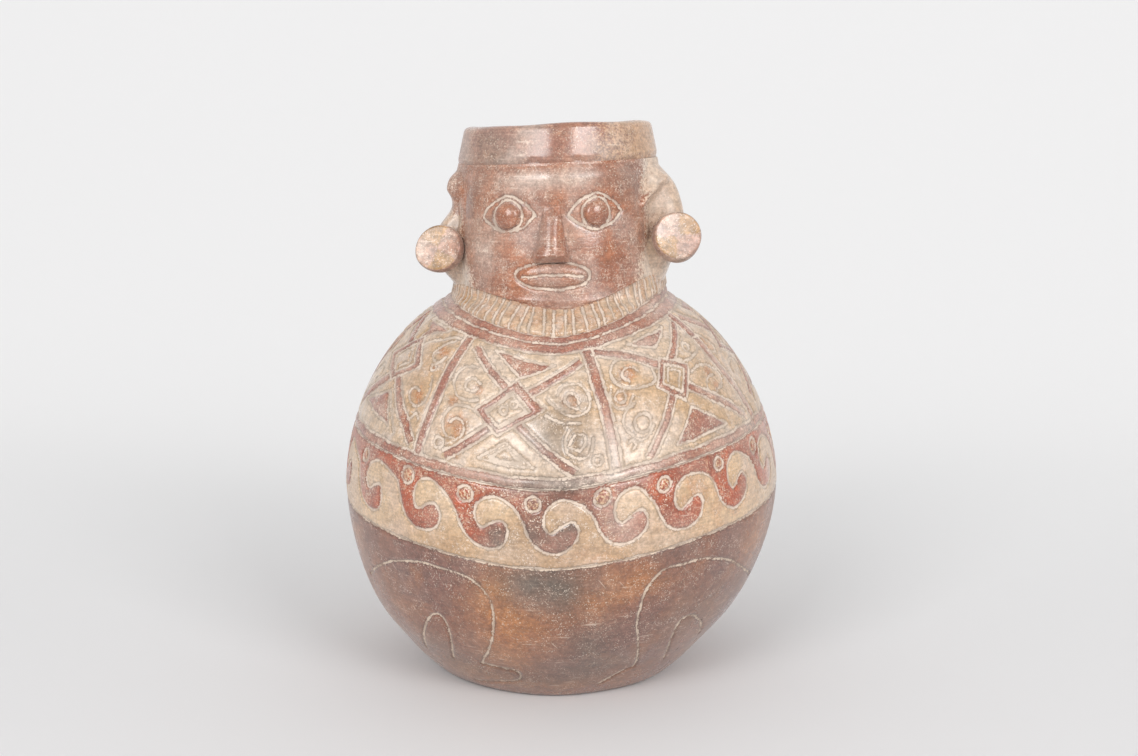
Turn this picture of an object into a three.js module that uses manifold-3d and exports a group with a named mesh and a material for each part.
// Effigy vessel: a globular hand-built clay jar whose neck is a head with a headband, ears with ear
// spools, and a ribbed collar. Each lump, coil, slab and pellet of clay is its own solid.
// Millimetres, +Z up. The origin is on the floor under the middle of the belly; the face looks along -Y.
import * as THREE from 'three';
import { mergeVertices } from 'three/addons/utils/BufferGeometryUtils.js';
import Module from 'manifold-3d';

// Whole jar
const HEIGHT = 240;
const WALL = 6;
const JOINT_GAP = 0.35;
const JOINT_BEVEL = 5;
const ROUND_SEGMENTS = 40;

// Body: two round halves that meet at the belly, each a power curve
const BELLY_RADIUS = 96.5;
const BELLY_Z = 84;
const LOWER_HALF = { span: 101.5, power: 1.83, roundness: 2.11 };
const UPPER_HALF = { span: 90.3, power: 1.73, roundness: 2.58 };

// Neck: a straight taper that runs into the shoulder through a soft fillet
const NECK_BASE_Z = 169;
const NECK_BASE_RADIUS = 46.4;
const NECK_TAPER = 0.06;
const RIM_PINCH_Z = 222;
const RIM_PINCH = 0.16;
const NECK_FILLET = 4;

// Heights of the joints between the clay courses
const BOWL_TOP_Z = 72;
const BELLY_TOP_Z = 108;
const SHOULDER_TOP_Z = 163;
const HEADBAND_Z = 224;
const HEADBAND_PROUD = 0.4;

// Base disc, dropped into a rebate in the bowl from inside
const FOOT_RADIUS = 53.5;
const FOOT_EDGE = 2;
const DISC_RADIUS = 42;
const DISC_FLANGE_RADIUS = 47;
const DISC_STEP = 4;
const FLOOR_Z = 8;

// Half-round coils pressed over the seams inside
const BASE_COIL_RADIUS = 4;
const WALL_COIL_RADIUS = 3.5;
const COIL_ARC_STEPS = 5;

// Collar and mask edges dip at the front and the back, rise at the sides and tilt up towards +X
const COLLAR_BOTTOM = { front: 155.6, rise: 15, tilt: 1.7 };
const COLLAR_TOP = { front: 165.2, rise: 6.3, tilt: 0 };
const COLLAR_THICKNESS = 1.6;
const DIP_SOFTNESS = 0.03;

// Face: eyes at mid head height, nose base midway from eyes to chin, mouth a third of the way below
const MASK_HALF_ANGLE = 62;
const MASK_THICKNESS = 1.6;
const CHIN_Z = COLLAR_TOP.front + 0.6;
const EYE_Z = (HEIGHT + CHIN_Z) / 2;
const NOSE_BASE_Z = (EYE_Z + CHIN_Z) / 2;
const MOUTH_Z = NOSE_BASE_Z - (NOSE_BASE_Z - CHIN_Z) / 3;
const EYE_WIDTH = 2 * NECK_BASE_RADIUS / 5;
const PELLET_RADIUS = EYE_WIDTH / 4;
const PELLET_RISE = 2.6;
const NOSE_HALF_WIDTH = EYE_WIDTH * 0.36;
const NOSE_RISE = 8;
const LIP_HALF_WIDTH = EYE_WIDTH * 0.72;
const LIP_HALF_HEIGHT = 4.2;
const LIP_RISE = 1.4;
const RELIEF_EDGE = 0.5;

// Ears: [height, reach out from the neck] down each ear, and half the width in degrees
const EAR_ANGLE = 75;
const EAR_HALF_ANGLE = 12;
const LEFT_EAR_REACH = [
  [172, 0.6], [179, 4.5], [187, 9.5], [197, 5], [205, 2.2], [213, 3.8], [221, 0.6],
];
const RIGHT_EAR_REACH = [
  [172, 0.6], [179, 5], [187, 10], [197, 12], [205, 11], [213, 8], [221, 1.2],
];

// Ear spools: a disc with a peg behind it that sits in a socket in the ear lobe
const SPOOL_CENTRE = new THREE.Vector3(50.8, -28, 190.4);
const SPOOL_AXIS = new THREE.Vector3(0.26, -0.89, 0.36).normalize();
const SPOOL_RADIUS = 10.5;
const SPOOL_EDGE = 3.2;
const SPOOL_THICKNESS = 4.5;
const SPOOL_BACK_RADIUS = 8.4;
const SPOOL_CHAMFER = 0.6;
const PEG_RADIUS = 2.8;
const PEG_LENGTH = 7;
const SPOOL_SEGMENTS = 20;

// The jar isn't quite true: its base and its head sit a little towards -X, and the head rises towards +X
const BASE_SHIFT = 3.3;
const BASE_SHIFT_END_Z = 80;
const HEAD_LEAN = 0.04;
const HEAD_SHIFT = 1.5;
const LEAN_START_Z = 165;
const LEAN_FULL_Z = 188;

// Fired clay colours
const RED_SLIP = 0x9c6450;
const BUFF_SLIP = 0xcbab86;
const BROWN_SLIP = 0x96695a;
const SPOOL_SLIP = 0xc9a58f;
const BARE_CLAY = 0xa8805f;

const wasm = await Module();
wasm.setup();

// Outline of the jar

function bodyRadius(z) {
  const half = z < BELLY_Z ? LOWER_HALF : UPPER_HALF;
  const reach = Math.min(Math.abs(z - BELLY_Z) / half.span, 1);
  return BELLY_RADIUS * (1 - reach ** half.power) ** (1 / half.roundness);
}

function neckRadius(z) {
  const pinch = Math.max(z - RIM_PINCH_Z, 0) * RIM_PINCH;
  return NECK_BASE_RADIUS - NECK_TAPER * (z - NECK_BASE_Z) - pinch;
}

function outerRadius(z) {
  const body = bodyRadius(z);
  if (z <= BELLY_Z) {
    return body;
  }
  const neck = neckRadius(z);
  return (body + neck + Math.hypot(body - neck, NECK_FILLET)) / 2;
}

function outerNormal(z) {
  const step = 0.1;
  const slope = (outerRadius(z + step) - outerRadius(z - step)) / (2 * step);
  return new THREE.Vector2(1, -slope).normalize();
}

// A point of the outline at height z, moved out along the surface normal
function outlinePoint(z, offset = 0) {
  return new THREE.Vector2(outerRadius(z), z).addScaledVector(outerNormal(z), offset);
}

function steps(from, to, count) {
  return Array.from({ length: count + 1 }, (_, i) => THREE.MathUtils.lerp(from, to, i / count));
}

// Height of an edge that is lowest at the front and the back and highest at the sides
function edgeHeight(edge, angle) {
  const side = Math.sin(angle);
  const dip = Math.sqrt(DIP_SOFTNESS);
  return edge.front + edge.rise * (Math.hypot(side, dip) - dip) + edge.tilt * side;
}

// Solids

function lathe(profile, segments = ROUND_SEGMENTS) {
  const geometry = new THREE.LatheGeometry(profile, segments);
  geometry.rotateX(Math.PI / 2);
  return geometry;
}

function latheRing(profile) {
  return lathe([...profile, profile[0]]);
}

// A course of the wall: up the outside, then down the inside, with both joints bevelled
function courseProfile(heights) {
  const outside = heights.map((z) => outlinePoint(z));
  const inside = heights.map((z) => outlinePoint(z + JOINT_BEVEL, -WALL));
  return [...outside, ...inside.reverse()];
}

function course(heights) {
  return latheRing(courseProfile(heights));
}

// A half-round coil with its flat side against the wall at the given point
function seamCoil(centre, normal, radius) {
  const along = new THREE.Vector2(-normal.y, normal.x);
  const profile = steps(-Math.PI / 2, Math.PI / 2, COIL_ARC_STEPS).map((turn) => (
    centre.clone()
      .addScaledVector(normal, -radius * Math.cos(turn))
      .addScaledVector(along, -radius * Math.sin(turn))
  ));
  return latheRing(profile);
}

function wallCoil(jointZ) {
  const z = jointZ + JOINT_BEVEL;
  return seamCoil(outlinePoint(z, -WALL - JOINT_GAP), outerNormal(z), WALL_COIL_RADIUS);
}

function jarPoint(angle, z, offset) {
  const point = outlinePoint(z, offset);
  return [point.x * Math.sin(angle), -point.x * Math.cos(angle), point.y];
}

// Clay laid on the jar: place(u, v) gives [angle, height] for u and v from -1 to 1, the back lies
// at the bed's height over the jar's surface, and the front stands rise(u, v) above it
function reliefSolid({ place, bed, rise, columns, rows, wraps = false }) {
  const stride = wraps ? columns : columns + 1;
  const layerSize = stride * (rows + 1);
  const positions = [];
  for (const layer of [0, 1]) {
    for (let row = 0; row <= rows; row++) {
      for (let column = 0; column < stride; column++) {
        const u = 2 * column / columns - 1;
        const v = 2 * row / rows - 1;
        positions.push(...jarPoint(...place(u, v), bed + layer * rise(u, v)));
      }
    }
  }
  const triangles = [];
  const quad = (a, b, c, d) => triangles.push(a, b, c, a, c, d);
  const back = (row, column) => row * stride + column % stride;
  const front = (row, column) => layerSize + back(row, column);
  const edge = (p, q) => quad(front(...p), back(...p), back(...q), front(...q));
  for (let row = 0; row < rows; row++) {
    for (let column = 0; column < columns; column++) {
      const corners = [[row, column], [row, column + 1], [row + 1, column + 1], [row + 1, column]];
      quad(...corners.map((corner) => front(...corner)));
      quad(...corners.reverse().map((corner) => back(...corner)));
    }
  }
  for (let column = 0; column < columns; column++) {
    edge([0, column], [0, column + 1]);
    edge([rows, column + 1], [rows, column]);
  }
  for (let row = 0; row < rows && !wraps; row++) {
    edge([row + 1, 0], [row, 0]);
    edge([row, columns], [row + 1, columns]);
  }
  const geometry = new THREE.BufferGeometry();
  geometry.setAttribute('position', new THREE.Float32BufferAttribute(positions, 3));
  geometry.setIndex(triangles);
  return geometry;
}

// Moves a square of u and v onto a round disc
function onDisc(u, v) {
  return [u * Math.sqrt(1 - v * v / 2), v * Math.sqrt(1 - u * u / 2)];
}

function angleAt(x, z) {
  return Math.asin(x / outerRadius(z));
}

function toManifold(geometry) {
  geometry.deleteAttribute('normal');
  geometry.deleteAttribute('uv');
  const merged = mergeVertices(geometry);
  return new wasm.Manifold(new wasm.Mesh({
    numProp: 3,
    vertProperties: merged.attributes.position.array,
    triVerts: new Uint32Array(merged.index.array),
  }));
}

function fromManifold(solid) {
  const mesh = solid.getMesh();
  const geometry = new THREE.BufferGeometry();
  geometry.setAttribute('position', new THREE.BufferAttribute(mesh.vertProperties, 3));
  geometry.setIndex(new THREE.BufferAttribute(mesh.triVerts, 1));
  return geometry;
}

// Courses of the body

function baseDisc() {
  return lathe([
    new THREE.Vector2(0, 0),
    new THREE.Vector2(DISC_RADIUS, 0),
    new THREE.Vector2(DISC_RADIUS, DISC_STEP),
    new THREE.Vector2(DISC_FLANGE_RADIUS, DISC_STEP),
    new THREE.Vector2(DISC_FLANGE_RADIUS, FLOOR_Z),
    new THREE.Vector2(0, FLOOR_Z),
  ]);
}

function lowerBowl() {
  const innerFloor = outlinePoint(FLOOR_Z + WALL / 2, -WALL).x;
  const wall = courseProfile(steps(FLOOR_Z + FOOT_EDGE, BOWL_TOP_Z, 6));
  return latheRing([
    new THREE.Vector2(DISC_RADIUS + JOINT_GAP, 0),
    new THREE.Vector2(FOOT_RADIUS, 0),
    outlinePoint(FOOT_EDGE),
    ...wall,
    new THREE.Vector2(innerFloor, FLOOR_Z),
    new THREE.Vector2(DISC_FLANGE_RADIUS + JOINT_GAP, FLOOR_Z),
    new THREE.Vector2(DISC_FLANGE_RADIUS + JOINT_GAP, DISC_STEP - JOINT_GAP),
    new THREE.Vector2(DISC_RADIUS + JOINT_GAP, DISC_STEP - JOINT_GAP),
  ]);
}

function baseSeamCoil() {
  const centre = new THREE.Vector2(DISC_FLANGE_RADIUS, FLOOR_Z + JOINT_GAP);
  return seamCoil(centre, new THREE.Vector2(0, -1), BASE_COIL_RADIUS);
}

function neckTube() {
  const flareTop = NECK_BASE_Z + 3;
  const flare = steps(SHOULDER_TOP_Z + JOINT_GAP, flareTop, 4);
  const shaft = steps(flareTop, HEADBAND_Z - JOINT_GAP, 3).slice(1);
  return course([...flare, ...shaft]);
}

function headband() {
  const lip = WALL / 2;
  const lipZ = HEIGHT - lip;
  const foot = HEADBAND_Z;
  const outside = steps(foot, lipZ, 2).map((z) => outlinePoint(z, HEADBAND_PROUD));
  const centre = outlinePoint(lipZ, HEADBAND_PROUD - lip);
  const rim = steps(0, Math.PI, 5).slice(1, -1).map((turn) => (
    new THREE.Vector2(centre.x + lip * Math.cos(turn), centre.y + lip * Math.sin(turn))
  ));
  const inside = steps(lipZ, foot + JOINT_BEVEL, 2).map((z) => outlinePoint(z, HEADBAND_PROUD - WALL));
  return latheRing([...outside, ...rim, ...inside]);
}

function collarStrip() {
  return reliefSolid({
    place: (u, v) => {
      const angle = Math.PI * u;
      const bottom = edgeHeight(COLLAR_BOTTOM, angle);
      const top = edgeHeight(COLLAR_TOP, angle);
      return [angle, THREE.MathUtils.lerp(bottom, top, (v + 1) / 2)];
    },
    bed: JOINT_GAP,
    rise: () => COLLAR_THICKNESS,
    columns: ROUND_SEGMENTS,
    rows: 4,
    wraps: true,
  });
}

// Face

const FACE_BED = JOINT_GAP * 2 + MASK_THICKNESS;

function faceMask() {
  return reliefSolid({
    place: (u, v) => {
      const angle = THREE.MathUtils.degToRad(MASK_HALF_ANGLE) * u;
      const bottom = edgeHeight(COLLAR_TOP, angle) + CHIN_Z - COLLAR_TOP.front;
      const top = HEADBAND_Z - 2 * JOINT_GAP;
      return [angle, THREE.MathUtils.lerp(bottom, top, (v + 1) / 2)];
    },
    bed: JOINT_GAP,
    rise: () => MASK_THICKNESS,
    columns: 16,
    rows: 10,
  });
}

function ovalPad(centreX, centreZ, halfWidth, halfHeight, rise, columns, rows) {
  return reliefSolid({
    place: (u, v) => {
      const [across, up] = onDisc(u, v);
      return [angleAt(centreX + across * halfWidth, centreZ), centreZ + up * halfHeight];
    },
    bed: FACE_BED,
    rise: (u, v) => {
      const [across, up] = onDisc(u, v);
      return RELIEF_EDGE + (rise - RELIEF_EDGE) * Math.sqrt(Math.max(1 - across ** 2 - up ** 2, 0));
    },
    columns,
    rows,
  });
}

function eyePellet(side) {
  return ovalPad(side * EYE_WIDTH, EYE_Z, PELLET_RADIUS, PELLET_RADIUS, PELLET_RISE, 8, 8);
}

function lips() {
  return ovalPad(0, MOUTH_Z, LIP_HALF_WIDTH, LIP_HALF_HEIGHT, LIP_RISE, 12, 6);
}

// A wedge that widens and stands out from the bridge down to the tip
function nose() {
  return reliefSolid({
    place: (u, v) => {
      const z = THREE.MathUtils.lerp(NOSE_BASE_Z, EYE_Z, (v + 1) / 2);
      const halfWidth = NOSE_HALF_WIDTH * THREE.MathUtils.lerp(1, 0.45, (v + 1) / 2);
      return [angleAt(halfWidth * u, z), z];
    },
    bed: FACE_BED,
    rise: (u, v) => {
      const fromBridge = (1 - v) / 2;
      const underTip = Math.min((v + 1) * 3, 1);
      const ridge = NOSE_RISE * fromBridge ** 0.8 * (0.35 + 0.65 * underTip);
      return RELIEF_EDGE + ridge * (1 - u * u);
    },
    columns: 8,
    rows: 8,
  });
}

// Ears and ear spools

function spoolFrame(side) {
  const mirror = new THREE.Vector3(side, 1, 1);
  const axis = SPOOL_AXIS.clone().multiply(mirror);
  const turn = new THREE.Quaternion().setFromUnitVectors(new THREE.Vector3(0, 0, 1), axis);
  return new THREE.Matrix4().compose(
    SPOOL_CENTRE.clone().multiply(mirror),
    turn,
    new THREE.Vector3(1, 1, 1),
  );
}

function earSpool(side) {
  const pegEnd = -SPOOL_THICKNESS - PEG_LENGTH;
  const geometry = lathe([
    new THREE.Vector2(0, pegEnd),
    new THREE.Vector2(PEG_RADIUS, pegEnd),
    new THREE.Vector2(PEG_RADIUS, -SPOOL_THICKNESS),
    new THREE.Vector2(SPOOL_BACK_RADIUS, -SPOOL_THICKNESS),
    new THREE.Vector2(SPOOL_RADIUS, -SPOOL_EDGE),
    new THREE.Vector2(SPOOL_RADIUS, -SPOOL_CHAMFER),
    new THREE.Vector2(SPOOL_RADIUS - SPOOL_CHAMFER, 0),
    new THREE.Vector2(0, 0),
  ], SPOOL_SEGMENTS);
  return geometry.applyMatrix4(spoolFrame(side));
}

// The seat of a spool: the room that its back and its peg take up in the lobe
function spoolSeat(side) {
  const back = -SPOOL_THICKNESS - JOINT_GAP;
  const geometry = lathe([
    new THREE.Vector2(0, back - PEG_LENGTH),
    new THREE.Vector2(PEG_RADIUS + JOINT_GAP, back - PEG_LENGTH),
    new THREE.Vector2(PEG_RADIUS + JOINT_GAP, back),
    new THREE.Vector2(SPOOL_BACK_RADIUS + JOINT_GAP, back),
    new THREE.Vector2(SPOOL_RADIUS + JOINT_GAP, -SPOOL_EDGE),
    new THREE.Vector2(SPOOL_RADIUS + JOINT_GAP, JOINT_GAP),
    new THREE.Vector2(0, JOINT_GAP),
  ], SPOOL_SEGMENTS);
  return geometry.applyMatrix4(spoolFrame(side));
}

function ear(side, reachPoints) {
  const reachCurve = new THREE.SplineCurve(reachPoints.map(([z, reach]) => new THREE.Vector2(z, reach)));
  const centre = THREE.MathUtils.degToRad(EAR_ANGLE) * side;
  const half = THREE.MathUtils.degToRad(EAR_HALF_ANGLE);
  const slab = reliefSolid({
    place: (u, v) => [centre + half * u, reachCurve.getPoint((v + 1) / 2).x],
    bed: JOINT_GAP,
    rise: (u, v) => RELIEF_EDGE + reachCurve.getPoint((v + 1) / 2).y * Math.sqrt(1 - u * u),
    columns: 8,
    rows: 14,
  });
  return fromManifold(toManifold(slab).subtract(toManifold(spoolSeat(side))));
}

// Assembly

function settle(geometry) {
  const place = geometry.attributes.position;
  for (let i = 0; i < place.count; i++) {
    const x = place.getX(i);
    const z = place.getZ(i);
    const baseShare = 1 - THREE.MathUtils.smoothstep(z, 0, BASE_SHIFT_END_Z);
    const headShare = THREE.MathUtils.smoothstep(z, LEAN_START_Z, LEAN_FULL_Z);
    const shift = BASE_SHIFT * baseShare + HEAD_SHIFT * headShare;
    place.setXYZ(i, x - shift, place.getY(i), z + HEAD_LEAN * x * headShare);
  }
  return geometry;
}

const vessel = new THREE.Group();

function add(name, geometry, color, roughness = 0.45) {
  const material = new THREE.MeshStandardMaterial({ color, roughness, metalness: 0 });
  const mesh = new THREE.Mesh(settle(geometry), material);
  mesh.name = name;
  vessel.add(mesh);
}

add('base_disc', baseDisc(), BARE_CLAY, 0.8);
add('base_seam_coil', baseSeamCoil(), BARE_CLAY, 0.9);
add('lower_bowl', lowerBowl(), BROWN_SLIP);
add('belly_seam_coil', wallCoil(BOWL_TOP_Z), BARE_CLAY, 0.9);
add('belly_ring', course(steps(BOWL_TOP_Z + JOINT_GAP, BELLY_TOP_Z, 4)), RED_SLIP);
add('shoulder_dome', course(steps(BELLY_TOP_Z + JOINT_GAP, SHOULDER_TOP_Z, 8)), BUFF_SLIP);
add('neck_seam_coil', wallCoil(SHOULDER_TOP_Z), BARE_CLAY, 0.9);
add('collar_strip', collarStrip(), BUFF_SLIP);
add('neck_tube', neckTube(), BUFF_SLIP);
add('headband', headband(), RED_SLIP);
add('face_mask', faceMask(), RED_SLIP);
add('nose', nose(), RED_SLIP);
add('lips', lips(), RED_SLIP);
add('left_eye', eyePellet(-1), RED_SLIP);
add('right_eye', eyePellet(1), RED_SLIP);
add('left_ear', ear(-1, LEFT_EAR_REACH), BUFF_SLIP);
add('right_ear', ear(1, RIGHT_EAR_REACH), BUFF_SLIP);
add('left_ear_spool', earSpool(-1), SPOOL_SLIP);
add('right_ear_spool', earSpool(1), SPOOL_SLIP);

export default vessel;
